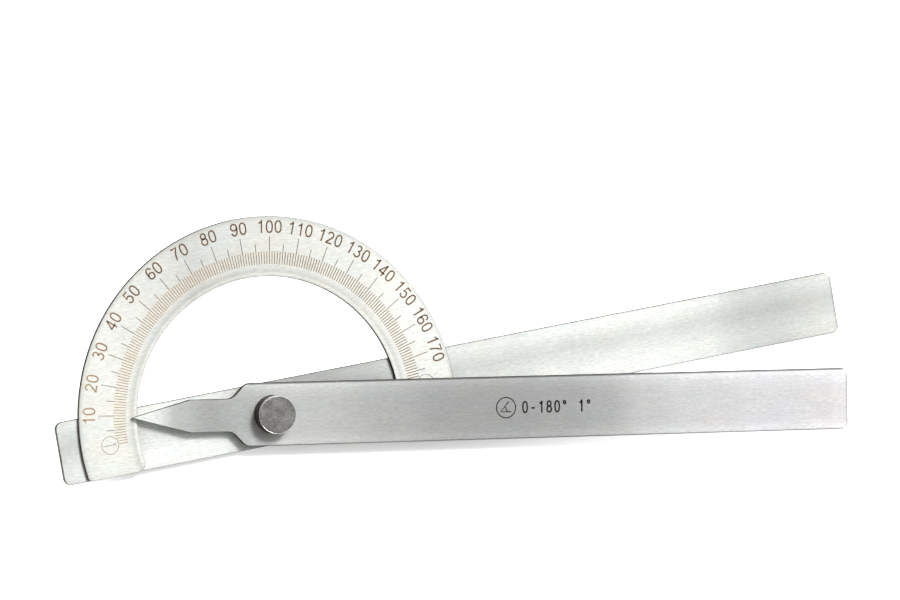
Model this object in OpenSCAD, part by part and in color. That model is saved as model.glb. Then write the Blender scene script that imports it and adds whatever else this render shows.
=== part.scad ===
// Arm protractor: a base arm that carries a half-circle degree scale, a pointer arm that swings over
// it on a pivot stud, and a round clamp knob on top of the stud.
// Units are millimetres. X runs along the base arm, Z is up, and the origin is on the pivot axis at
// the underside of the stud's head.

/* [Arms] */
// Width of both arms
arm_w = 20; // [16:0.5:24]
// Thickness of both arms
arm_t = 2; // [1.6:0.1:2.4]
// Reach of both arms from the pivot to the far end
arm_reach = 198; // [180:0.5:220]
// Corner radius at the arm ends
arm_corner_r = 2.3; // [1:0.1:3]
// Length of the base arm behind the pivot
base_tail = 68.9; // [68:0.1:80]

/* [Scale] */
// Outer radius of the scale
scale_outer_r = 62.4; // [60:0.1:66]
// Inner radius of the scale
scale_inner_r = 43.4; // [40:0.1:46]
// Thickness of the scale plate
scale_t = 1.6; // [1.2:0.1:2]
// Cut across the corners of the scale's feet
foot_cut = 1.2; // [0.8:0.1:2]
// Distance of each rivet from the pivot
rivet_orbit = 53; // [51:0.5:55]
// Head radius of the flush rivets, in the scale plate
rivet_head_r = 2.75; // [2.4:0.05:3]
// Shank radius of the flush rivets, in the base arm
rivet_shank_r = 1.9; // [1.5:0.05:2.2]

/* [Pointer] */
// Reading on the scale as drawn, in degrees
reading = 9.2; // [0:0.1:12]
// Distance from the pivot to the pointer's tip
tip_reach = 45.5; // [44.5:0.1:47]
// Distance from the pivot to the start of the pointer's taper
taper_start = 26.8; // [24:0.1:29]
// Half width of the neck
neck_half = 5.15; // [4.5:0.05:6]
// Distance from the pivot to where the full width ends
shoulder_start = 7.2; // [6.5:0.1:8]
// Length of the sloping shoulder between full width and neck
shoulder_run = 7; // [6:0.1:8]
// Radius of the two bends of each shoulder
shoulder_r = 4; // [3:0.1:4.5]
// Extra lean of each shoulder's straight stretch, in degrees
shoulder_lean = 12; // [8:1:16]

/* [Pivot] */
// Radius of the stud's head under the base arm
head_r = 5.5; // [5:0.1:6.5]
// Thickness of the stud's head
head_t = 0.8; // [0.6:0.1:1.2]
// Radius of the stud's shank
shank_r = 3; // [2.5:0.1:3.2]
// Radius of the stud's threaded end
thread_r = 2; // [1.8:0.1:2.2]
// Outer radius of the spacer washer between the arms
spacer_r = 8; // [7:0.1:9]
// Gap between the scale and the pointer arm above it
over_gap = 0.3; // [0.3:0.05:0.5]
// Gap between faces that slide on each other
slide_gap = 0.1; // [0.05:0.01:0.15]
// Radial clearance of the turning parts on the stud
turn_gap = 0.05; // [0.03:0.01:0.08]
// Outer radius of the friction washer under the knob
friction_r = 5.4; // [5:0.1:6]
// Thickness of the friction washer
friction_t = 0.4; // [0.3:0.05:0.5]

/* [Knob] */
// Radius of the knob
knob_r = 6.1; // [5.8:0.1:7]
// Height of the knob
knob_h = 5.5; // [5:0.1:6.5]
// Edge break on the top of the knob
knob_break = 0.45; // [0.3:0.05:0.7]
// Edge break on the underside of the knob
knob_under_break = 0.25; // [0.2:0.05:0.4]
// Metal left above the knob's blind hole
knob_roof = 1.4; // [1:0.1:1.6]

/* [Hidden] */
$fn = 96;
half_w = arm_w / 2;
base_z = head_t;
scale_z = base_z + arm_t;
pointer_z = scale_z + scale_t + over_gap;
pointer_top = pointer_z + arm_t;
friction_top = pointer_top + friction_t;
knob_z = friction_top + slide_gap;
knob_top = knob_z + knob_h;
spacer_t = pointer_z - slide_gap - scale_z;
washer_gap = 2 * turn_gap;
shoulder_z = pointer_top + friction_t / 2;
hole_top = knob_top - knob_roof;
thread_top = hole_top - over_gap;
far = 2 * arm_reach;
pass = 1;
bend_steps = 8;
arm_steel = [0.78, 0.79, 0.80];
scale_steel = [0.86, 0.86, 0.85];
rivet_steel = [0.70, 0.71, 0.71];
dark_steel = [0.45, 0.45, 0.44];

// Points along an arc from angle a0 to a1.
function bend(cx, cy, r, a0, a1) =
    [for (i = [0 : bend_steps]) let (a = a0 + (a1 - a0) * i / bend_steps) [cx + r * cos(a), cy + r * sin(a)]];

// A list of points mirrored across the X axis, in reverse order.
function mirrored(points) =
    [for (i = [len(points) - 1 : -1 : 0]) [points[i][0], -points[i][1]]];

// Flat bar along X from x0 to x1 with four rounded corners.
module bar(x0, x1) {
    r = arm_corner_r;
    translate([x0 + r, -half_w]) square([x1 - x0 - 2 * r, arm_w]);
    translate([x0, r - half_w]) square([x1 - x0, arm_w - 2 * r]);
    for (x = [x0 + r, x1 - r], s = [-1, 1]) translate([x, s * (half_w - r)]) circle(r);
}

// Plain washer with its underside at height z.
module ring(outer_r, inner_r, t, z) {
    translate([0, 0, z]) linear_extrude(t) difference() {
        circle(outer_r);
        circle(inner_r);
    }
}

module base_arm() {
    color(arm_steel) difference() {
        translate([0, 0, base_z]) linear_extrude(arm_t) bar(-base_tail, arm_reach);
        translate([0, 0, base_z - pass]) cylinder(h = arm_t + 2 * pass, r = shank_r);
        for (s = [-1, 1]) translate([s * rivet_orbit, 0, base_z - pass])
            cylinder(h = arm_t + 2 * pass, r = rivet_shank_r);
    }
}

// Half ring whose feet run down over the base arm to its lower edge.
module scale_arc() {
    inner_x = sqrt(pow(scale_inner_r, 2) - pow(half_w, 2));
    outer_x = sqrt(pow(scale_outer_r, 2) - pow(half_w, 2));
    color(scale_steel) translate([0, 0, scale_z]) linear_extrude(scale_t) difference() {
        circle(scale_outer_r, $fn = 180);
        circle(scale_inner_r, $fn = 180);
        translate([-far / 2, -half_w - far]) square([far, far]);
        for (s = [-1, 1], x = [inner_x, outer_x]) translate([s * x, -half_w]) rotate(45)
            square([foot_cut * sqrt(2), foot_cut * sqrt(2)], center = true);
        for (s = [-1, 1]) translate([s * rivet_orbit, 0]) circle(rivet_head_r);
    }
}

// Flush rivet through the scale plate and the base arm, on the side s of the pivot.
module flush_rivet(s) {
    color(rivet_steel) translate([s * rivet_orbit, 0, 0]) {
        translate([0, 0, base_z]) cylinder(h = arm_t, r = rivet_shank_r);
        translate([0, 0, scale_z]) cylinder(h = scale_t, r = rivet_head_r);
    }
}

module rivet_zero() {
    flush_rivet(-1);
}

module rivet_half() {
    flush_rivet(1);
}

module pivot_stud() {
    color(dark_steel) union() {
        cylinder(h = head_t, r = head_r);
        cylinder(h = shoulder_z, r = shank_r);
        cylinder(h = thread_top, r = thread_r);
    }
}

module spacer_washer() {
    color(rivet_steel) ring(spacer_r, shank_r, spacer_t, scale_z);
}

// Outline of the pointer arm above its centre line, from the tip to the far end.
function pointer_side() =
    let (rise = half_w - neck_half)
    let (slope = atan(rise / shoulder_run) + shoulder_lean)
    let (inset = shoulder_r * tan(slope / 2))
    let (x_mid = -shoulder_start - shoulder_run / 2)
    let (half_run = rise / tan(slope) / 2)
    concat(
        [[-tip_reach, 0]],
        [[-taper_start, neck_half]],
        bend(x_mid - half_run - inset, neck_half + shoulder_r, shoulder_r, -90, slope - 90),
        bend(x_mid + half_run + inset, half_w - shoulder_r, shoulder_r, 90 + slope, 90),
        bend(arm_reach - arm_corner_r, half_w - arm_corner_r, arm_corner_r, 90, 0));

module pointer_arm() {
    side = pointer_side();
    below = mirrored([for (i = [1 : len(side) - 1]) side[i]]);
    color(arm_steel) rotate(-reading) translate([0, 0, pointer_z]) linear_extrude(arm_t) difference() {
        polygon(concat(side, below));
        circle(shank_r + turn_gap);
    }
}

module friction_washer() {
    color(rivet_steel) ring(friction_r, shank_r + washer_gap, friction_t, pointer_top);
}

module clamp_knob() {
    color(dark_steel) rotate_extrude() polygon([
        [thread_r + turn_gap, knob_z],
        [knob_r - knob_under_break, knob_z],
        [knob_r, knob_z + knob_under_break],
        [knob_r, knob_top - knob_break],
        [knob_r - knob_break, knob_top],
        [0, knob_top],
        [0, hole_top],
        [thread_r + turn_gap, hole_top]]);
}

base_arm();
scale_arc();
rivet_zero();
rivet_half();
pivot_stud();
spacer_washer();
pointer_arm();
friction_washer();
clamp_knob();
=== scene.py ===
import math

import bmesh
import bpy
from mathutils import Matrix, Vector


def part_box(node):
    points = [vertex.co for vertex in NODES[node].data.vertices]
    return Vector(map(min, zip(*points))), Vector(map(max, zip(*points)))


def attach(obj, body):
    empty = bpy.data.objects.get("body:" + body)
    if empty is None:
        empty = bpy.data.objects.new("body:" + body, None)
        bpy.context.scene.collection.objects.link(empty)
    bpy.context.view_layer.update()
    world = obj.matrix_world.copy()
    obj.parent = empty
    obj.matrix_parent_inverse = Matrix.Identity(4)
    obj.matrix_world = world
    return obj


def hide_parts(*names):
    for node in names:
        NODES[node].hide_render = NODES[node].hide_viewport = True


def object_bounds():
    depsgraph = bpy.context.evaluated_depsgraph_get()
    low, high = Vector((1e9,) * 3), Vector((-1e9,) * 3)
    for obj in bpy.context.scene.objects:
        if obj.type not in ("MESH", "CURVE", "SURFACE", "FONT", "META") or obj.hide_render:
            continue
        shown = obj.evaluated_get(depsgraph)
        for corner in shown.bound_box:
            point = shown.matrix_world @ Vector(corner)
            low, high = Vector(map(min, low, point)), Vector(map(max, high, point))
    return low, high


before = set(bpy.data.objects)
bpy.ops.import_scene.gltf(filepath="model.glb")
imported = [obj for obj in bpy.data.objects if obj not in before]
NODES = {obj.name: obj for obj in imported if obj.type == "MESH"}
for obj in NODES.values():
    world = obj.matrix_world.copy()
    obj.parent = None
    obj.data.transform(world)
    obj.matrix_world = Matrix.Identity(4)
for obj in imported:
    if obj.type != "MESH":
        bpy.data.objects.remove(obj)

CAD_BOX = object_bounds()
MM = 0.001

# Sizes in millimetres, as in the CAD model.
HALF_ARM = 10.0
ARM_REACH = 198.0
BASE_TAIL = 68.9
ARM_CORNER = 2.3
READING = 9.2
TIP_REACH = 45.5
TAPER_START = 26.8
NECK_HALF = 5.15
SHOULDER_START = 7.2
SHOULDER_RUN = 7.0
SHOULDER_R = 4.0
SHOULDER_LEAN = 12.0
SCALE_OUTER = 62.4
SCALE_INNER = 43.4
FOOT_INNER_R = 2.5
FOOT_OUTER_R = 1.6
RIVET_ORBIT = 53.0
RIVET_HEAD_R = 2.75
RIVET_SHANK_R = 1.9
SHANK_R = 3.0
TURN_GAP = 0.05

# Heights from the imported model, in millimetres.
BASE_LOW, BASE_TOP = (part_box("base_arm")[i][2] / MM for i in (0, 1))
SCALE_LOW, SCALE_TOP = (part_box("scale_arc")[i][2] / MM for i in (0, 1))
POINTER_LOW, POINTER_TOP = (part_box("pointer_arm")[i][2] / MM for i in (0, 1))
KNOB_LOW, KNOB_TOP = (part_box("clamp_knob")[i][2] / MM for i in (0, 1))
KNOB_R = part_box("clamp_knob")[1][0] / MM

# Graduations, in millimetres.
TICK_START = 47.2
TICK_ENDS = {1: 51.2, 5: 53.6, 10: 56.0}
TICK_WIDTH = 0.26
TICK_CLEAR = 0.25
LINE_WIDTH = 0.22
DIGIT_BASE = 57.0
DIGIT_H = 4.05
DIGIT_STEP = 2.9
DIGIT_LINE = 0.48
MARK_LIFT = 0.012

# Broken edges, in millimetres. A bar's break is flatter along its lower long edge, and the scale has
# a worn bevel along its inner edge.
# The steep upper breaks take the cut walls' dark colour: painted shade along the upper edges.
BAR_BREAK_WIDTH, BAR_BREAK_DROP = 0.3, 0.8
LOW_WIDTH_CUT, LOW_DROP_CUT = 0.08, 0.55
BAR_BREAK_UNDER = 0.2
SCALE_BREAK_WIDTH, SCALE_BREAK_DROP = 0.35, 0.4
BEVEL_WIDTH, BEVEL_DROP = 0.9, 0.14
SCALE_BREAK_UNDER = 0.15
HOLE_BREAK = 0.1
SHANK_BREAK = 0.05
HEAD_BREAK = 0.07

# Points on round stretches.
ROUND_STEPS = 3
CORNER_STEPS = 10
SHOULDER_STEPS = 12
INNER_FOOT_STEPS = 12
OUTER_FOOT_STEPS = 8
RING_STEPS = 180


# ---------------------------------------------------------------- meshes

def arc(cx, cy, r, start, end, steps):
    """Points on an arc, angles in degrees."""
    out = []
    for i in range(steps + 1):
        a = math.radians(start + (end - start) * i / steps)
        out.append((cx + r * math.cos(a), cy + r * math.sin(a)))
    return out


def turned(points, degrees):
    """Points turned about the origin."""
    c, s = math.cos(math.radians(degrees)), math.sin(math.radians(degrees))
    return [(x * c - y * s, x * s + y * c) for x, y in points]


def hole(x, y, r, steps=64):
    """A closed clockwise circle."""
    return arc(x, y, r, 360, 0, steps)[:-1]


def left_normals(points):
    """Vectors that move a closed loop one unit to its left, mitred at corners."""
    out = []
    n = len(points)
    for i in range(n):
        before = Vector(points[i]) - Vector(points[i - 1])
        after = Vector(points[(i + 1) % n]) - Vector(points[i])
        before.normalize()
        after.normalize()
        n1 = Vector((-before.y, before.x))
        n2 = Vector((-after.y, after.x))
        m = n1 + n2
        out.append(m / max(m.dot(n1), 0.2))
    return out


def add_object(name, bm, material, body):
    """Turns a bmesh in millimetres into a smooth-shaded piece that rides on a body."""
    bmesh.ops.scale(bm, vec=(MM, MM, MM), verts=bm.verts)
    mesh = bpy.data.meshes.new(name)
    bm.to_mesh(mesh)
    bm.free()
    for polygon in mesh.polygons:
        polygon.use_smooth = True
    obj = bpy.data.objects.new(name, mesh)
    bpy.context.scene.collection.objects.link(obj)
    mesh.materials.append(material)
    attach(obj, body)
    return obj


def weighted(obj):
    """Keeps flat faces flat beside their rounded edges."""
    modifier = obj.modifiers.new("weighted", "WEIGHTED_NORMAL")
    modifier.keep_sharp = True
    return obj


def plate(name, loops, low, high, material, body):
    """Flat plate with rounded edges.

    Each loop is (points, top widths, top drops, under break), and the metal lies on its left.
    """
    bm = bmesh.new()
    caps = {"low": [], "high": []}
    for points, widths, drops, under in loops:
        n = len(points)
        normals = left_normals(points)
        widths = widths if isinstance(widths, list) else [widths] * n
        drops = drops if isinstance(drops, list) else [drops] * n
        rows = []
        for k in range(ROUND_STEPS + 1):
            a = math.pi / 2 * (1 - k / ROUND_STEPS)
            inset, rise = under * (1 - math.cos(a)), under * (1 - math.sin(a))
            rows.append([(inset, low + rise)] * n)
        for k in range(ROUND_STEPS + 1):
            a = math.pi / 2 * k / ROUND_STEPS
            inset, fall = 1 - math.cos(a), 1 - math.sin(a)
            rows.append([(w * inset, high - d * fall) for w, d in zip(widths, drops)])
        verts = []
        for row in rows:
            ring = []
            for (x, y), normal, (inset, z) in zip(points, normals, row):
                ring.append(bm.verts.new((x + normal.x * inset, y + normal.y * inset, z)))
            verts.append(ring)
        for a, b in zip(verts, verts[1:]):
            for i in range(n):
                j = (i + 1) % n
                bm.faces.new((a[i], a[j], b[j], b[i]))
        for key, ring in (("low", verts[0]), ("high", verts[-1])):
            for i in range(n):
                caps[key].append(bm.edges.get((ring[i], ring[(i + 1) % n])))
    for key, z in (("low", -1), ("high", 1)):
        bmesh.ops.triangle_fill(bm, use_beauty=True, edges=caps[key], normal=(0, 0, z))
    bmesh.ops.recalc_face_normals(bm, faces=bm.faces)
    return weighted(add_object(name, bm, material, body))


def revolved(name, profile, material, body, steps=96):
    """A closed turned piece from (radius, height) points that start and end on the axis."""
    bm = bmesh.new()
    rings = []
    for r, z in profile:
        if r == 0:
            rings.append([bm.verts.new((0, 0, z))])
        else:
            rings.append([bm.verts.new((x, y, z)) for x, y in arc(0, 0, r, 0, 360, steps)[:-1]])
    for a, b in zip(rings, rings[1:]):
        for i in range(steps):
            j = (i + 1) % steps
            corners = (a[i % len(a)], a[j % len(a)], b[j % len(b)], b[i % len(b)])
            bm.faces.new(list(dict.fromkeys(corners)))
    bmesh.ops.recalc_face_normals(bm, faces=bm.faces)
    return weighted(add_object(name, bm, material, body))


def add_stroke(bm, points, width, place, closed=False):
    """A flat line of even width along points; place maps (x, y) to 3-D."""
    pts = [Vector(p) for p in points]
    n = len(pts)
    rows = []
    for i in range(n):
        before = pts[i] - pts[i - 1] if (i > 0 or closed) else pts[1] - pts[0]
        after = pts[(i + 1) % n] - pts[i] if (i < n - 1 or closed) else before
        before.normalize()
        after.normalize()
        n1 = Vector((-before.y, before.x))
        m = n1 + Vector((-after.y, after.x))
        side = m / max(m.dot(n1), 0.7) * width / 2
        rows.append([bm.verts.new(place(*(pts[i] + side))), bm.verts.new(place(*(pts[i] - side)))])
    for i in range(n if closed else n - 1):
        a, b = rows[i], rows[(i + 1) % n]
        bm.faces.new((a[1], b[1], b[0], a[0]))


# ---------------------------------------------------------------- outlines

def breaks(points):
    """Widths and drops of a bar's broken top edge at each point of its outline."""
    low = [max(0.0, normal.y) for normal in left_normals(points)]
    widths = [BAR_BREAK_WIDTH - LOW_WIDTH_CUT * v for v in low]
    return widths, [BAR_BREAK_DROP - LOW_DROP_CUT * v for v in low]


def bar_outline():
    """Counter-clockwise outline of the base arm."""
    r = ARM_CORNER
    x0, x1, y = -BASE_TAIL + r, ARM_REACH - r, HALF_ARM - r
    corners = ((x0, -y, 180), (x1, -y, 270), (x1, y, 0), (x0, y, 90))
    return [p for cx, cy, start in corners for p in arc(cx, cy, r, start, start + 90, CORNER_STEPS)]


def pointer_outline():
    """Counter-clockwise outline along +X, before it is turned to its reading."""
    rise = HALF_ARM - NECK_HALF
    slope = math.degrees(math.atan(rise / SHOULDER_RUN)) + SHOULDER_LEAN
    inset = SHOULDER_R * math.tan(math.radians(slope / 2))
    x_mid = -SHOULDER_START - SHOULDER_RUN / 2
    half_run = rise / math.tan(math.radians(slope)) / 2
    neck_x = x_mid - half_run - inset
    full_x = x_mid + half_run + inset
    r = ARM_CORNER
    side = ([(-TIP_REACH, 0.0), (-TAPER_START, NECK_HALF)]
            + arc(neck_x, NECK_HALF + SHOULDER_R, SHOULDER_R, -90, slope - 90, SHOULDER_STEPS)
            + arc(full_x, HALF_ARM - SHOULDER_R, SHOULDER_R, 90 + slope, 90, SHOULDER_STEPS)
            + arc(ARM_REACH - r, HALF_ARM - r, r, 90, 0, CORNER_STEPS))
    return [(x, -y) for x, y in side] + [(x, y) for x, y in reversed(side[1:])]


def foot_fillet(ring_r, fillet_r):
    """Centre of the round between a foot's end and a circle of the scale, and its angle at the pivot."""
    y = fillet_r - HALF_ARM
    x = math.sqrt(ring_r ** 2 - y ** 2)
    return (x, y), math.degrees(math.atan2(y, x))


def scale_outline():
    """Counter-clockwise outline of the half ring, and the top break's width and drop at each point."""
    outer_c, outer_a = foot_fillet(SCALE_OUTER - FOOT_OUTER_R, FOOT_OUTER_R)
    inner_c, inner_a = foot_fillet(SCALE_INNER + FOOT_INNER_R, FOOT_INNER_R)
    inner_foot = arc(*inner_c, FOOT_INNER_R, inner_a + 180, 270, INNER_FOOT_STEPS)
    outer_foot = arc(*outer_c, FOOT_OUTER_R, -90, outer_a, OUTER_FOOT_STEPS)
    rim = arc(0, 0, SCALE_OUTER, outer_a, 180 - outer_a, RING_STEPS)[1:-1]
    window = arc(0, 0, SCALE_INNER, 180 - inner_a, inner_a, RING_STEPS)[1:-1]
    right = []
    for i, p in enumerate(inner_foot):
        t = i / INNER_FOOT_STEPS
        width = BEVEL_WIDTH + (SCALE_BREAK_WIDTH - BEVEL_WIDTH) * t
        right.append((p, width, BEVEL_DROP + (SCALE_BREAK_DROP - BEVEL_DROP) * t))
    right += [(p, SCALE_BREAK_WIDTH, SCALE_BREAK_DROP) for p in outer_foot]
    top = [(p, SCALE_BREAK_WIDTH, SCALE_BREAK_DROP) for p in rim]
    left = [((-x, y), width, drop) for (x, y), width, drop in reversed(right)]
    inside = [(p, BEVEL_WIDTH, BEVEL_DROP) for p in window]
    rows = right + top + left + inside
    return [r[0] for r in rows], [r[1] for r in rows], [r[2] for r in rows]


# ---------------------------------------------------------------- numerals

GLYPH_WIDTH = 0.6


def oval(cx, cy, rx, ry, start=0, end=360, steps=28, power=2.4):
    """Points on a slightly squared oval."""
    out = []
    for i in range(steps + 1):
        a = math.radians(start + (end - start) * i / steps)
        c, s = math.cos(a), math.sin(a)
        out.append((cx + rx * math.copysign(abs(c) ** (2 / power), c),
                    cy + ry * math.copysign(abs(s) ** (2 / power), s)))
    return out


def glyph(sign):
    """Strokes of one sign in a box GLYPH_WIDTH wide and 1 high: (points, closed)."""
    six = [(oval(0.3, 0.5, 0.235, 0.44, 28, 200, 20), False),
           (oval(0.3, 0.305, 0.232, 0.24)[:-1], True)]
    shapes = {
        "0": [(oval(0.3, 0.5, 0.235, 0.44)[:-1], True)],
        "1": [([(0.37, 0.0), (0.37, 1.0)], False), ([(0.37, 0.93), (0.28, 0.83), (0.13, 0.74)], False)],
        "2": [(oval(0.3, 0.70, 0.222, 0.24, 172, -38, 20, 2.0)
               + [(0.1, 0.13), (0.08, 0.062), (0.55, 0.062)], False)],
        "3": [(oval(0.28, 0.73, 0.195, 0.21, 158, -88, 18, 2.0), False),
              (oval(0.285, 0.29, 0.235, 0.23, 88, -162, 20, 2.0), False)],
        "4": [([(0.43, 0.0), (0.43, 1.0)], False), ([(0.42, 0.96), (0.05, 0.27)], False),
              ([(0.01, 0.275), (0.6, 0.275)], False)],
        "5": [([(0.53, 0.94), (0.17, 0.94), (0.1, 0.5)]
               + oval(0.285, 0.33, 0.235, 0.27, 128, -160, 20, 2.0), False)],
        "6": six,
        "7": [([(0.05, 0.94), (0.54, 0.94), (0.40, 0.73), (0.29, 0.48), (0.225, 0.24), (0.2, 0.0)],
               False)],
        "8": [(oval(0.3, 0.735, 0.19, 0.205)[:-1], True), (oval(0.3, 0.29, 0.232, 0.235)[:-1], True)],
        "9": [([(GLYPH_WIDTH - x, 1 - y) for x, y in points], closed) for points, closed in six],
        "-": [([(0.1, 0.42), (0.5, 0.42)], False)],
        "o": [(oval(0.24, 0.82, 0.12, 0.12, power=2.0)[:-1], True)],
        " ": [],
    }
    return shapes[sign]


def add_number(bm, text, height, step, line, narrow, place):
    """Writes signs centred on x = 0 with their feet on y = 0; place maps (x, y) to 3-D."""
    start = -step * len(text) / 2 + (step - GLYPH_WIDTH * height * narrow) / 2
    for i, sign in enumerate(text):
        for points, closed in glyph(sign):
            moved = [(start + i * step + x * height * narrow, y * height) for x, y in points]
            add_stroke(bm, moved, line, place, closed)


def polar(angle, z):
    """Maps (sideways, outwards from the pivot) at a scale reading to 3-D."""
    a = math.radians(180 - angle)
    out, side = (math.cos(a), math.sin(a)), (math.sin(a), -math.cos(a))
    return lambda s, r: (out[0] * r + side[0] * s, out[1] * r + side[1] * s, z)


# ---------------------------------------------------------------- materials

class Nodes:
    """Small helper to write a node material line by line."""

    def __init__(self, name):
        self.material = bpy.data.materials.new(name)
        self.material.use_nodes = True
        self.tree = self.material.node_tree
        self.tree.nodes.clear()
        self.output = self.tree.nodes.new("ShaderNodeOutputMaterial")
        self.shader = self.tree.nodes.new("ShaderNodeBsdfPrincipled")
        self.link(self.shader.outputs[0], self.output.inputs["Surface"])

    def link(self, a, b):
        self.tree.links.new(a, b)

    def feed(self, value, socket):
        """Links an output socket, or sets a plain value."""
        if isinstance(value, bpy.types.NodeSocket):
            self.link(value, socket)
        else:
            socket.default_value = value

    def node(self, kind, **fields):
        n = self.tree.nodes.new(kind)
        for key, value in fields.items():
            setattr(n, key, value)
        return n

    def place(self, angle, scale):
        """Object coordinates turned by angle degrees about Z and scaled."""
        coords = self.node("ShaderNodeTexCoord")
        turn = self.node("ShaderNodeVectorRotate", rotation_type="Z_AXIS")
        self.link(coords.outputs["Object"], turn.inputs["Vector"])
        turn.inputs["Angle"].default_value = math.radians(angle)
        size = self.node("ShaderNodeVectorMath", operation="MULTIPLY")
        self.link(turn.outputs[0], size.inputs[0])
        size.inputs[1].default_value = scale
        return size.outputs[0]

    def noise(self, vector, detail, rough):
        """Noise from 0 to 1, mostly between 0.3 and 0.7."""
        n = self.node("ShaderNodeTexNoise")
        self.link(vector, n.inputs["Vector"])
        n.inputs["Scale"].default_value = 1.0
        n.inputs["Detail"].default_value = detail
        n.inputs["Roughness"].default_value = rough
        return n.outputs["Fac"]

    def math(self, operation, a, b=0.0, clamp=False):
        n = self.node("ShaderNodeMath", operation=operation, use_clamp=clamp)
        self.feed(a, n.inputs[0])
        self.feed(b, n.inputs[1])
        return n.outputs[0]

    def remap(self, value, low, high, to_low, to_high, kind="LINEAR"):
        n = self.node("ShaderNodeMapRange", interpolation_type=kind)
        for socket, v in zip(n.inputs, (value, low, high, to_low, to_high)):
            self.feed(v, socket)
        return n.outputs[0]

    def mix(self, factor, a, b):
        n = self.node("ShaderNodeMix", data_type="RGBA")
        self.feed(factor, n.inputs[0])
        self.feed(a, n.inputs[6])
        self.feed(b, n.inputs[7])
        return n.outputs[2]

    def tone(self, colour, value):
        """Colour times a grey value."""
        n = self.node("ShaderNodeVectorMath", operation="SCALE")
        self.feed(colour, n.inputs[0])
        self.feed(value, n.inputs["Scale"])
        return n.outputs[0]

    def axis(self, vector, name):
        n = self.node("ShaderNodeSeparateXYZ")
        self.link(vector, n.inputs[0])
        return n.outputs[name]

    def profile(self, value, stops, kind):
        """Factor that follows (distance in millimetres, factor) stops."""
        low, high = stops[0][0], stops[-1][0]
        peak = max(factor for _, factor in stops)
        n = self.node("ShaderNodeValToRGB")
        n.color_ramp.interpolation = kind
        elements = n.color_ramp.elements
        while len(elements) < len(stops):
            elements.new(0.5)
        for element, (distance, factor) in zip(elements, stops):
            element.position = (distance - low) / (high - low)
            element.color = (factor / peak, factor / peak, factor / peak, 1)
        self.link(self.remap(value, low * MM, high * MM, 0.0, 1.0), n.inputs[0])
        return self.math("MULTIPLY", n.outputs[0], peak)

    def slope(self):
        """1 on faces that look up or down and 0 on upright walls, with all values between."""
        coords = self.node("ShaderNodeTexCoord")
        return self.math("ABSOLUTE", self.axis(coords.outputs["Normal"], "Z"))

    def upright(self):
        """1 on the flat faces and 0 on the side walls."""
        return self.remap(self.slope(), 0.5, 0.85, 0.0, 1.0)

    def relief(self, height, strength, depth):
        """Fine relief, with its depth in millimetres."""
        bump = self.node("ShaderNodeBump")
        bump.inputs["Strength"].default_value = strength
        bump.inputs["Distance"].default_value = depth * MM
        self.link(height, bump.inputs["Height"])
        self.link(bump.outputs[0], self.shader.inputs["Normal"])


def rgba(r, g, b):
    return (r, g, b, 1.0)


STEEL_METALLIC = 0.85
STEEL_ROUGHNESS = 0.80
# The knob's broken edge: a paler, glossier colour, partly polished metal and partly a painted highlight.
RIM_POLISH_AND_HIGHLIGHT = rgba(0.62, 0.6, 0.58)
RIM_GLOSS = 0.42


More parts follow.
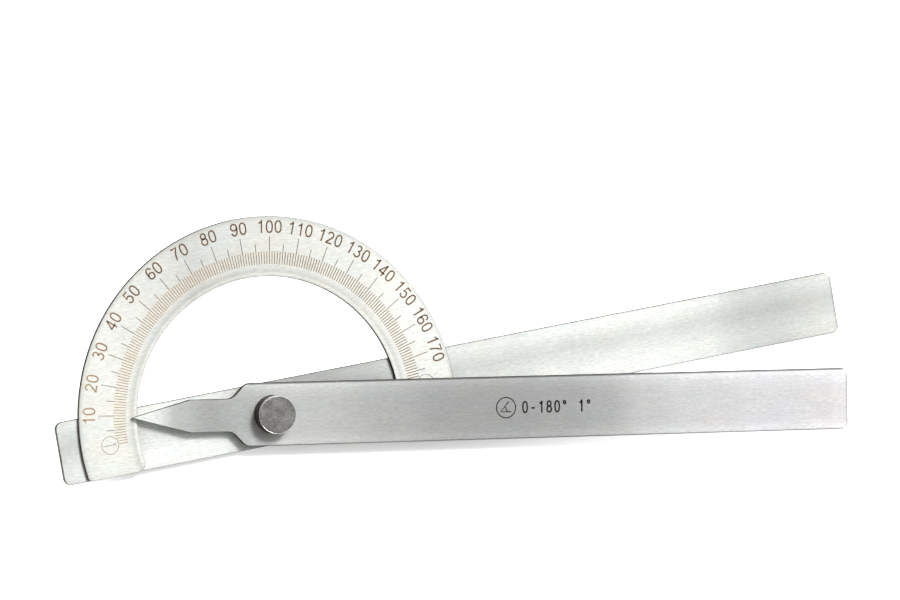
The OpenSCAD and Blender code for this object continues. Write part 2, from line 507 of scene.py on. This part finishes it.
def brushed(name, left, right, wall, grain, along, across, ringed, stain):
    """Brushed steel: streaks along the grain, soft stains, and cut walls painted dark as shade.

    Its tone goes from left to right, and its brightness follows the stops along the grain and across
    it, which paint in reflection, highlight and shade. Where it is ringed, the second stops count out
    from the pivot instead.
    """
    m = Nodes(name)
    fine = m.noise(m.place(grain, (520, 3900, 0)), 3.0, 0.65)
    coarse = m.noise(m.place(grain, (120, 1500, 0)), 2.0, 0.5)
    patch = m.noise(m.place(grain, (90, 170, 30)), 4.0, 0.6)
    flat = m.place(grain, (1, 1, 0))
    x = m.axis(flat, "X")
    side_way = m.axis(flat, "Y")
    if ringed:
        length = m.node("ShaderNodeVectorMath", operation="LENGTH")
        m.link(flat, length.inputs[0])
        side_way = length.outputs["Value"]

    # Brightness: the stops' painted reflection, highlight and shade, with random streaks and stains
    level = m.math("MULTIPLY", m.profile(x, along, "EASE"), m.profile(side_way, across, "LINEAR"))
    level = m.math("MULTIPLY", level, m.remap(fine, 0.25, 0.75, 0.81, 1.19))
    level = m.math("MULTIPLY", level, m.remap(coarse, 0.25, 0.75, 0.95, 1.05))
    level = m.math("MULTIPLY", level, m.remap(patch, 0.3, 0.7, 1.0 - stain, 1.0 + stain))

    # Colour of the flat faces
    place = m.remap(x, along[0][0] * MM, along[-1][0] * MM, 0.0, 1.0)
    tarnish = m.noise(m.place(grain, (45, 150, 30)), 3.0, 0.6)
    tint = m.mix(m.remap(tarnish, 0.35, 0.65, 0.0, 1.0), COOL_TINT, WARM_TINT)
    face = m.node("ShaderNodeVectorMath", operation="MULTIPLY")
    m.link(m.tone(m.mix(place, rgba(*left), rgba(*right)), level), face.inputs[0])
    m.link(tint, face.inputs[1])

    # The side walls and steep edge breaks get a dark, dull colour that hardly mirrors: painted shade,
    #     # which draws a dark outline along the edges. Its mottle is random.
    wall_mottle = m.noise(m.place(0, (160, 160, 600)), 3.0, 0.6)
    side = m.tone(wall, m.remap(wall_mottle, 0.3, 0.7, 0.6, 1.3))
    up = m.upright()
    m.link(m.mix(up, side, face.outputs[0]), m.shader.inputs["Base Color"])
    m.link(m.math("MULTIPLY", up, STEEL_METALLIC), m.shader.inputs["Metallic"])
    m.link(m.math("MULTIPLY", up, 0.5), m.shader.inputs["Specular IOR Level"])

    # Gloss, which is stretched across the grain
    texture = m.math("ADD", m.math("MULTIPLY", fine, 0.10), m.math("MULTIPLY", patch, 0.12))
    m.link(m.math("ADD", texture, STEEL_ROUGHNESS - 0.11), m.shader.inputs["Roughness"])
    m.shader.inputs["Anisotropic"].default_value = 0.45
    ways = m.node("ShaderNodeVectorTransform", vector_type="VECTOR",
                  convert_from="OBJECT", convert_to="WORLD")
    a = math.radians(-grain)
    ways.inputs[0].default_value = (math.cos(a), math.sin(a), 0)
    m.link(ways.outputs[0], m.shader.inputs["Tangent"])
    m.relief(m.math("ADD", fine, m.math("MULTIPLY", coarse, 1.5)), 0.35, 0.01)
    return m.material


def turned_steel(name, top, wall, rough):
    """Dull turned steel: mottled flat faces with fine pits, walls in a darker colour that is painted
    shade, and brighter broken edges, partly polished metal and partly a painted highlight.
    """
    m = Nodes(name)
    mottle = m.noise(m.place(35, (420, 420, 420)), 4.0, 0.6)
    pits = m.noise(m.place(0, (2300, 2300, 2300)), 3.0, 0.6)
    drift = m.noise(m.place(35, (90, 160, 90)), 2.0, 0.5)
    level = m.math("MULTIPLY", m.remap(mottle, 0.3, 0.7, 0.7, 1.3), m.remap(pits, 0.35, 0.65, 0.7, 1.15))
    level = m.math("MULTIPLY", level, m.remap(drift, 0.3, 0.7, 0.85, 1.15))
    z = m.slope()
    # The rim is the broken edge between top and wall. Its paler colour is partly polished metal and
    # partly a painted highlight.
    rim = m.math("MULTIPLY", m.remap(z, 0.25, 0.5, 0.0, 1.0), m.remap(z, 0.85, 0.97, 1.0, 0.0))
    # The walls take the wall colour, which is near-black for the knob: painted shade.
    face = m.mix(m.remap(z, 0.3, 0.6, 0.0, 1.0), m.tone(wall, level), m.tone(top, level))
    m.link(m.mix(rim, face, RIM_POLISH_AND_HIGHLIGHT), m.shader.inputs["Base Color"])
    matt = m.remap(mottle, 0.3, 0.7, rough + 0.08, rough - 0.05)
    m.link(m.math("MULTIPLY", matt, m.remap(rim, 0.0, 1.0, 1.0, RIM_GLOSS)), m.shader.inputs["Roughness"])
    m.link(m.remap(z, 0.3, 0.6, 0.0, 1.0), m.shader.inputs["Metallic"])
    m.link(m.remap(z, 0.2, 0.5, 0.12, 0.5), m.shader.inputs["Specular IOR Level"])
    m.relief(m.math("ADD", mottle, m.math("MULTIPLY", pits, 0.6)), 0.6, 0.06)
    return m.material


def marking(name, dark, pale, x_span, fade):
    """Laser-marked steel: brown, paler towards one end, with worn specks."""
    m = Nodes(name)
    wear = m.noise(m.place(0, (900, 900, 900)), 3.0, 0.6)
    x = m.axis(m.place(0, (1, 1, 1)), "X")
    place = m.remap(x, x_span[0] * MM, x_span[1] * MM, fade, 0.0)
    amount = m.math("ADD", place, m.remap(wear, 0.35, 0.7, -0.12, 0.22), clamp=True)
    m.link(m.mix(amount, dark, pale), m.shader.inputs["Base Color"])
    m.link(m.remap(wear, 0.3, 0.7, 0.5, 0.7), m.shader.inputs["Roughness"])
    m.shader.inputs["Metallic"].default_value = 0.0
    m.shader.inputs["Specular IOR Level"].default_value = 0.05
    return m.material


# Brightness along each plate, across it and out from the pivot: (millimetres, factor). These stops are
# # painted light: the swells and dips along and around each plate copy reflected light, and the drops at
# # the edges and ends paint a dark outline, beside painted highlights on the broken edges.
ARM_PAINTED_LIGHT_ALONG = [(-46, 1.0), (-38, 0.96), (-31, 0.67), (-20, 0.55), (-10, 0.62), (2, 0.72), (17, 0.68),
             (38, 0.59), (60, 0.51), (75, 0.5), (98, 0.52), (112, 0.58), (127, 0.73), (141, 0.8),
             (167, 0.86), (190, 0.88), (194.5, 0.93), (197.3, 0.93), (197.5, 0.5), (198, 0.45)]
ARM_PAINTED_LIGHT_ACROSS = [(-10, 0.4), (-9.75, 0.5), (-9.6, 1.12), (-8.5, 1.13), (-7.5, 1.07), (-6, 1.02),
              (-4, 1.0), (3, 1.0), (5, 1.02), (7, 1.08), (8, 1.14), (9, 1.22), (9.35, 1.2),
              (9.5, 0.5), (10, 0.42)]
BASE_PAINTED_LIGHT_ALONG = [(-70, 0.86), (-60, 0.92), (-38, 1.0), (-20, 0.98), (-2, 0.74), (8, 0.62), (20, 0.6),
              (32, 0.68), (45, 0.8), (70, 0.94), (102, 0.98), (134, 1.0), (150, 0.95), (166, 0.8),
              (177, 0.78), (188, 0.83), (192, 0.87), (197.3, 0.88), (197.5, 0.45), (198, 0.4)]
BASE_PAINTED_LIGHT_ACROSS = [(-10, 0.6), (-9.8, 0.7), (-9.6, 1.06), (-7, 1.08), (-5, 1.07), (-2.5, 1.0),
               (0, 0.94), (2, 0.89), (4, 0.94), (6, 1.0), (8, 1.06), (9, 1.04), (9.6, 1.0),
               (9.75, 0.85), (10, 0.75)]
SCALE_PAINTED_LIGHT_ALONG = [(-63, 0.96), (-51, 0.98), (-40, 0.93), (-28, 0.87), (-17, 0.79), (-6, 0.84),
               (9, 0.88), (34, 0.93), (50, 1.02), (63, 1.02)]
SCALE_OUT = [(43.0, 0.95), (44.2, 1.05), (44.6, 0.95), (45.0, 0.86), (45.5, 0.89), (46.3, 0.97),
             (47, 1.0), (60.3, 1.0), (60.9, 1.0), (61.4, 0.92), (61.8, 0.9), (62.0, 0.9),
             (62.15, 0.6), (62.4, 0.5)]

BASE_TONE = (0.745, 0.76, 0.735)
ARM_LEFT = (0.735, 0.752, 0.725)
ARM_RIGHT = (0.735, 0.725, 0.735)
SCALE_TONE = (0.768, 0.773, 0.735)
# Colours of the cut walls: painted shade for the dark outline along the edges. CUT_WALL is the less dark
# of the two.
DARK_WALL = (0.05, 0.042, 0.036)
CUT_WALL = (0.13, 0.125, 0.12)
COOL_TINT = (0.985, 1.0, 1.01, 1.0)
WARM_TINT = (1.012, 1.0, 0.988, 1.0)

base_steel = brushed("base_steel", BASE_TONE, BASE_TONE, CUT_WALL, 0,
                     BASE_PAINTED_LIGHT_ALONG, BASE_PAINTED_LIGHT_ACROSS, False, 0.04)
pointer_steel = brushed("pointer_steel", ARM_LEFT, ARM_RIGHT, DARK_WALL, READING,
                        ARM_PAINTED_LIGHT_ALONG, ARM_PAINTED_LIGHT_ACROSS, False, 0.05)
scale_steel = brushed("scale_steel", SCALE_TONE, SCALE_TONE, DARK_WALL, 0,
                      SCALE_PAINTED_LIGHT_ALONG, SCALE_OUT, True, 0.035)
rivet_steel = brushed("rivet_steel", SCALE_TONE, SCALE_TONE, CUT_WALL, 20,
                      SCALE_PAINTED_LIGHT_ALONG, SCALE_OUT, True, 0.03)
# The knob's near-black wall colour is painted shade.
knob_steel = turned_steel("knob_steel", (0.145, 0.142, 0.135), (0.022, 0.014, 0.009), 0.5)
number_ink = marking("number_ink", rgba(0.115, 0.065, 0.034), rgba(0.38, 0.27, 0.17), (-62, -38), 0.95)
line_ink = marking("line_ink", rgba(0.09, 0.06, 0.045), rgba(0.32, 0.22, 0.15), (-60, 0), 0.4)
tick_ink = marking("tick_ink", rgba(0.17, 0.105, 0.04), rgba(0.5, 0.36, 0.19), (-50, 20), 0.6)
arm_ink = marking("arm_ink", rgba(0.012, 0.01, 0.01), rgba(0.035, 0.028, 0.022), (70, 110), 0.3)


# ---------------------------------------------------------------- pieces

base = plate("base_plate", [
    (bar_outline(), *breaks(bar_outline()), BAR_BREAK_UNDER),
    (hole(0, 0, SHANK_R), HOLE_BREAK, HOLE_BREAK, HOLE_BREAK),
    (hole(-RIVET_ORBIT, 0, RIVET_SHANK_R), SHANK_BREAK, SHANK_BREAK, SHANK_BREAK),
    (hole(RIVET_ORBIT, 0, RIVET_SHANK_R), SHANK_BREAK, SHANK_BREAK, SHANK_BREAK),
], BASE_LOW, BASE_TOP, base_steel, "base")
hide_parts("base_arm")

scale = plate("scale_plate", [
    (*scale_outline(), SCALE_BREAK_UNDER),
    (hole(-RIVET_ORBIT, 0, RIVET_HEAD_R), HEAD_BREAK, HEAD_BREAK, SHANK_BREAK),
    (hole(RIVET_ORBIT, 0, RIVET_HEAD_R), HEAD_BREAK, HEAD_BREAK, SHANK_BREAK),
], SCALE_LOW, SCALE_TOP, scale_steel, "base")
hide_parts("scale_arc")

pointer = plate("pointer_plate", [
    (turned(pointer_outline(), -READING), *breaks(pointer_outline()), BAR_BREAK_UNDER),
    (hole(0, 0, SHANK_R + TURN_GAP), HOLE_BREAK, HOLE_BREAK, HOLE_BREAK),
], POINTER_LOW, POINTER_TOP, pointer_steel, "pointer")
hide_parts("pointer_arm")

KNOB_RIM = 0.5
KNOB_UNDER = 0.25
THREAD_HOLE_R = 2.05
HOLE_ROOF = 1.4
RIM_STEPS = (1.0, 0.72, 0.45, 0.2, 0.0)
rim = [(KNOB_R - KNOB_RIM + KNOB_RIM * math.sin(a), KNOB_TOP - KNOB_RIM + KNOB_RIM * math.cos(a))
       for a in (math.pi / 2 * step for step in RIM_STEPS)]
knob = revolved("knob_body", [
    (0, KNOB_TOP - HOLE_ROOF), (THREAD_HOLE_R, KNOB_TOP - HOLE_ROOF), (THREAD_HOLE_R, KNOB_LOW),
    (KNOB_R - KNOB_UNDER, KNOB_LOW), (KNOB_R, KNOB_LOW + KNOB_UNDER),
] + rim + [(KNOB_R * 0.5, KNOB_TOP), (0, KNOB_TOP)], knob_steel, "knob")
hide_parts("clamp_knob")

# The small fasteners keep the CAD's own meshes.
for node, material in (("rivet_zero", rivet_steel), ("rivet_half", rivet_steel),
                       ("spacer_washer", rivet_steel), ("friction_washer", rivet_steel),
                       ("pivot_stud", knob_steel)):
    NODES[node].data.materials.clear()
    NODES[node].data.materials.append(material)


# ---------------------------------------------------------------- markings

INK_Z = SCALE_TOP + MARK_LIFT

# The fine lines on each rivet, as distances from the pivot: a long one between two short ones.
RIVET_LONG = (RIVET_ORBIT - 1.7, RIVET_ORBIT + 2.3)
RIVET_SHORT = (RIVET_ORBIT - 2.1, RIVET_ORBIT - 1.1)
RIVET_SHORT_SIDE = 0.35
RIVET_SHORT_LINE = 0.14
RIVET_LINE = 0.16
RIVET_SEAM = 0.02

# The generic mark on the pointer arm: a ring with an angle sign in it, and then text.
MARK_X = 78.5
MARK_R = 3.25
MARK_LINE = 0.36
ANGLE_CORNER = (MARK_X - 1.8, -1.3)
ANGLE_FOOT = (MARK_X + 1.7, -1.3)
ANGLE_TOP = (MARK_X + 0.9, 1.9)
ANGLE_LINE = 0.38
ANGLE_ARC_R = 2.1
ANGLE_ARC_END = 50
ANGLE_ARC_LINE = 0.3
TEXT_X = 96.0
TEXT_H = 3.9
TEXT_STEP = 2.75
TEXT_LINE = 0.54
TEXT_NARROW = 0.8


def tick_rank(degree):
    return 10 if degree % 10 == 0 else 5 if degree % 5 == 0 else 1


def tick_end(degree):
    """Where a tick stops: at its full length, or just short of the rivet's rim if that comes first."""
    near = abs(RIVET_ORBIT * math.sin(math.radians(degree)))
    if near >= RIVET_HEAD_R:
        return TICK_ENDS[tick_rank(degree)]
    centre = RIVET_ORBIT * abs(math.cos(math.radians(degree)))
    return centre - math.sqrt(RIVET_HEAD_R ** 2 - near ** 2) - TICK_CLEAR


def on_pointer(x, y):
    """Maps a point on the pointer arm, before it is turned to its reading, to 3-D."""
    (px, py), = turned([(x, y)], -READING)
    return (px, py, POINTER_TOP + MARK_LIFT)


bm = bmesh.new()
for degree in range(0, 181):
    end = min(TICK_ENDS[1], tick_end(degree))
    add_stroke(bm, [(0, TICK_START), (0, end)], TICK_WIDTH, polar(degree, INK_Z))
add_object("scale_ticks", bm, tick_ink, "base")

bm = bmesh.new()
for degree in range(5, 180, 5):
    add_stroke(bm, [(0, TICK_ENDS[1]), (0, tick_end(degree))], LINE_WIDTH, polar(degree, INK_Z))
for degree in (0, 180):
    place = polar(degree, INK_Z)
    add_stroke(bm, [(0, r) for r in RIVET_LONG], RIVET_LINE, place)
    for s in (-1, 1):
        add_stroke(bm, [(s * RIVET_SHORT_SIDE, r) for r in RIVET_SHORT], RIVET_SHORT_LINE, place)
add_object("scale_lines", bm, line_ink, "base")

bm = bmesh.new()
for degree in range(10, 180, 10):
    place = polar(degree, INK_Z)
    add_number(bm, str(degree), DIGIT_H, DIGIT_STEP, DIGIT_LINE, 1.0,
               lambda s, r, put=place: put(s, r + DIGIT_BASE))
add_object("scale_numbers", bm, number_ink, "base")

bm = bmesh.new()
for degree in (0, 180):
    ring = arc(0, RIVET_ORBIT, RIVET_HEAD_R + RIVET_SEAM, 0, 360, 48)[:-1]
    add_stroke(bm, ring, RIVET_LINE, polar(degree, INK_Z), closed=True)
add_object("rivet_outlines", bm, line_ink, "base")

bm = bmesh.new()
add_stroke(bm, arc(MARK_X, 0, MARK_R, 0, 360, 64)[:-1], MARK_LINE, on_pointer, closed=True)
add_stroke(bm, [ANGLE_FOOT, ANGLE_CORNER, ANGLE_TOP], ANGLE_LINE, on_pointer)
add_stroke(bm, arc(*ANGLE_CORNER, ANGLE_ARC_R, 0, ANGLE_ARC_END, 12), ANGLE_ARC_LINE, on_pointer)
add_number(bm, "0-180o 1o", TEXT_H, TEXT_STEP, TEXT_LINE, TEXT_NARROW,
           lambda x, y: on_pointer(x + TEXT_X, y - TEXT_H / 2))
add_object("pointer_mark", bm, arm_ink, "pointer")


# ---------------------------------------------------------------- stage

# The floor in metres, and its glow: the least and the greatest, and from where to where it fades.
FLOOR_SIZE = 4.0
FLOOR_GAP = 0.00002
FLOOR_TONE = 0.93
GLOW_LOW = 0.26
GLOW_HIGH = 0.85
GLOW_RIGHT = (0.045, 0.165)
GLOW_RIGHT_PEAK = 0.8
GLOW_LEFT = (-0.067, -0.045)
GLOW_UPPER = (-0.009, -0.003)
WORLD_LIGHT = 0.17


def floor_material():
    """Matt white that glows, least near the pivot and below the arms, where the shadow is darkest."""
    m = Nodes("floor_paint")
    m.shader.inputs["Base Color"].default_value = rgba(FLOOR_TONE, FLOOR_TONE, FLOOR_TONE)
    m.shader.inputs["Roughness"].default_value = 0.9
    m.shader.inputs["Specular IOR Level"].default_value = 0.0
    m.shader.inputs["Emission Color"].default_value = rgba(1.0, 1.0, 1.0)
    ground = m.place(0, (1, 1, 1))
    x = m.axis(ground, "X")
    right_part = m.remap(x, *GLOW_RIGHT, 0.0, GLOW_RIGHT_PEAK, "SMOOTHSTEP")
    left_part = m.remap(x, *GLOW_LEFT, 1.0, 0.0, "SMOOTHSTEP")
    upper_part = m.remap(m.axis(ground, "Y"), *GLOW_UPPER, 0.0, 1.0, "SMOOTHSTEP")
    glow = m.math("MAXIMUM", m.math("MAXIMUM", right_part, left_part), upper_part)
    m.link(m.remap(glow, 0.0, 1.0, GLOW_LOW, GLOW_HIGH), m.shader.inputs["Emission Strength"])
    return m.material


bm = bmesh.new()
bmesh.ops.create_grid(bm, x_segments=1, y_segments=1, size=FLOOR_SIZE)
mesh = bpy.data.meshes.new("floor")
bm.to_mesh(mesh)
bm.free()
mesh.materials.append(floor_material())
floor = bpy.data.objects.new("floor", mesh)
bpy.context.scene.collection.objects.link(floor)
floor.location.z = CAD_BOX[0][2] - FLOOR_GAP

world = bpy.data.worlds.new("studio")
bpy.context.scene.world = world
world.use_nodes = True
world.node_tree.nodes["Background"].inputs["Color"].default_value = rgba(1.0, 1.0, 1.0)
world.node_tree.nodes["Background"].inputs["Strength"].default_value = WORLD_LIGHT


def area_light(name, direction, distance, width, height, power):
    """A white rectangle that shines on the middle of the protractor from a direction."""
    light = bpy.data.lights.new(name, "AREA")
    light.shape = "RECTANGLE"
    light.size = width
    light.size_y = height
    light.energy = power
    obj = bpy.data.objects.new(name, light)
    way = Vector(direction).normalized()
    obj.location = Vector(MIDDLE) + way * distance
    obj.rotation_euler = way.to_track_quat("Z", "Y").to_euler()
    bpy.context.scene.collection.objects.link(obj)


MIDDLE = (0.06, 0.0, 0.0)
KEY_WAY = (0.24, 0.46, 0.86)
KEY_DISTANCE = 3.5
area_light("key", KEY_WAY, KEY_DISTANCE, 0.8, 0.8, 131)
area_light("key_veil", KEY_WAY, KEY_DISTANCE, 2.6, 2.6, 56)
area_light("sky_panel", (0.30, -0.10, 0.95), 2.2, 1.7, 1.5, 7.2)
area_light("low_panel", (-0.45, -0.85, 0.2), 1.5, 1.2, 0.3, 11.0)

# The camera's place, aim, roll and lens were fitted to the photo.
CAMERA_AT = (-0.47422, 0.13341, 1.54660)
CAMERA_AIM = (0.06718, 0.02426, 0.0)
CAMERA_ROLL = -9.570
CAMERA_LENS = 205.32
SENSOR_WIDTH = 36.0
CLIP_END = 20.0

camera_data = bpy.data.cameras.new("camera")
camera_data.lens = CAMERA_LENS
camera_data.sensor_width = SENSOR_WIDTH
camera_data.clip_end = CLIP_END
camera = bpy.data.objects.new("camera", camera_data)
bpy.context.scene.collection.objects.link(camera)
back = (Vector(CAMERA_AT) - Vector(CAMERA_AIM)).normalized()
up = Vector((0, 1, 0))
up = (up - back * up.dot(back)).normalized()
right = up.cross(back)
basis = Matrix((right, up, back)).transposed() @ Matrix.Rotation(math.radians(CAMERA_ROLL), 3, "Z")
camera.matrix_world = Matrix.Translation(CAMERA_AT) @ basis.to_4x4()
bpy.context.scene.camera = camera
bpy.context.scene.view_settings.view_transform = "Standard"
bpy.context.scene.view_settings.look = "None"
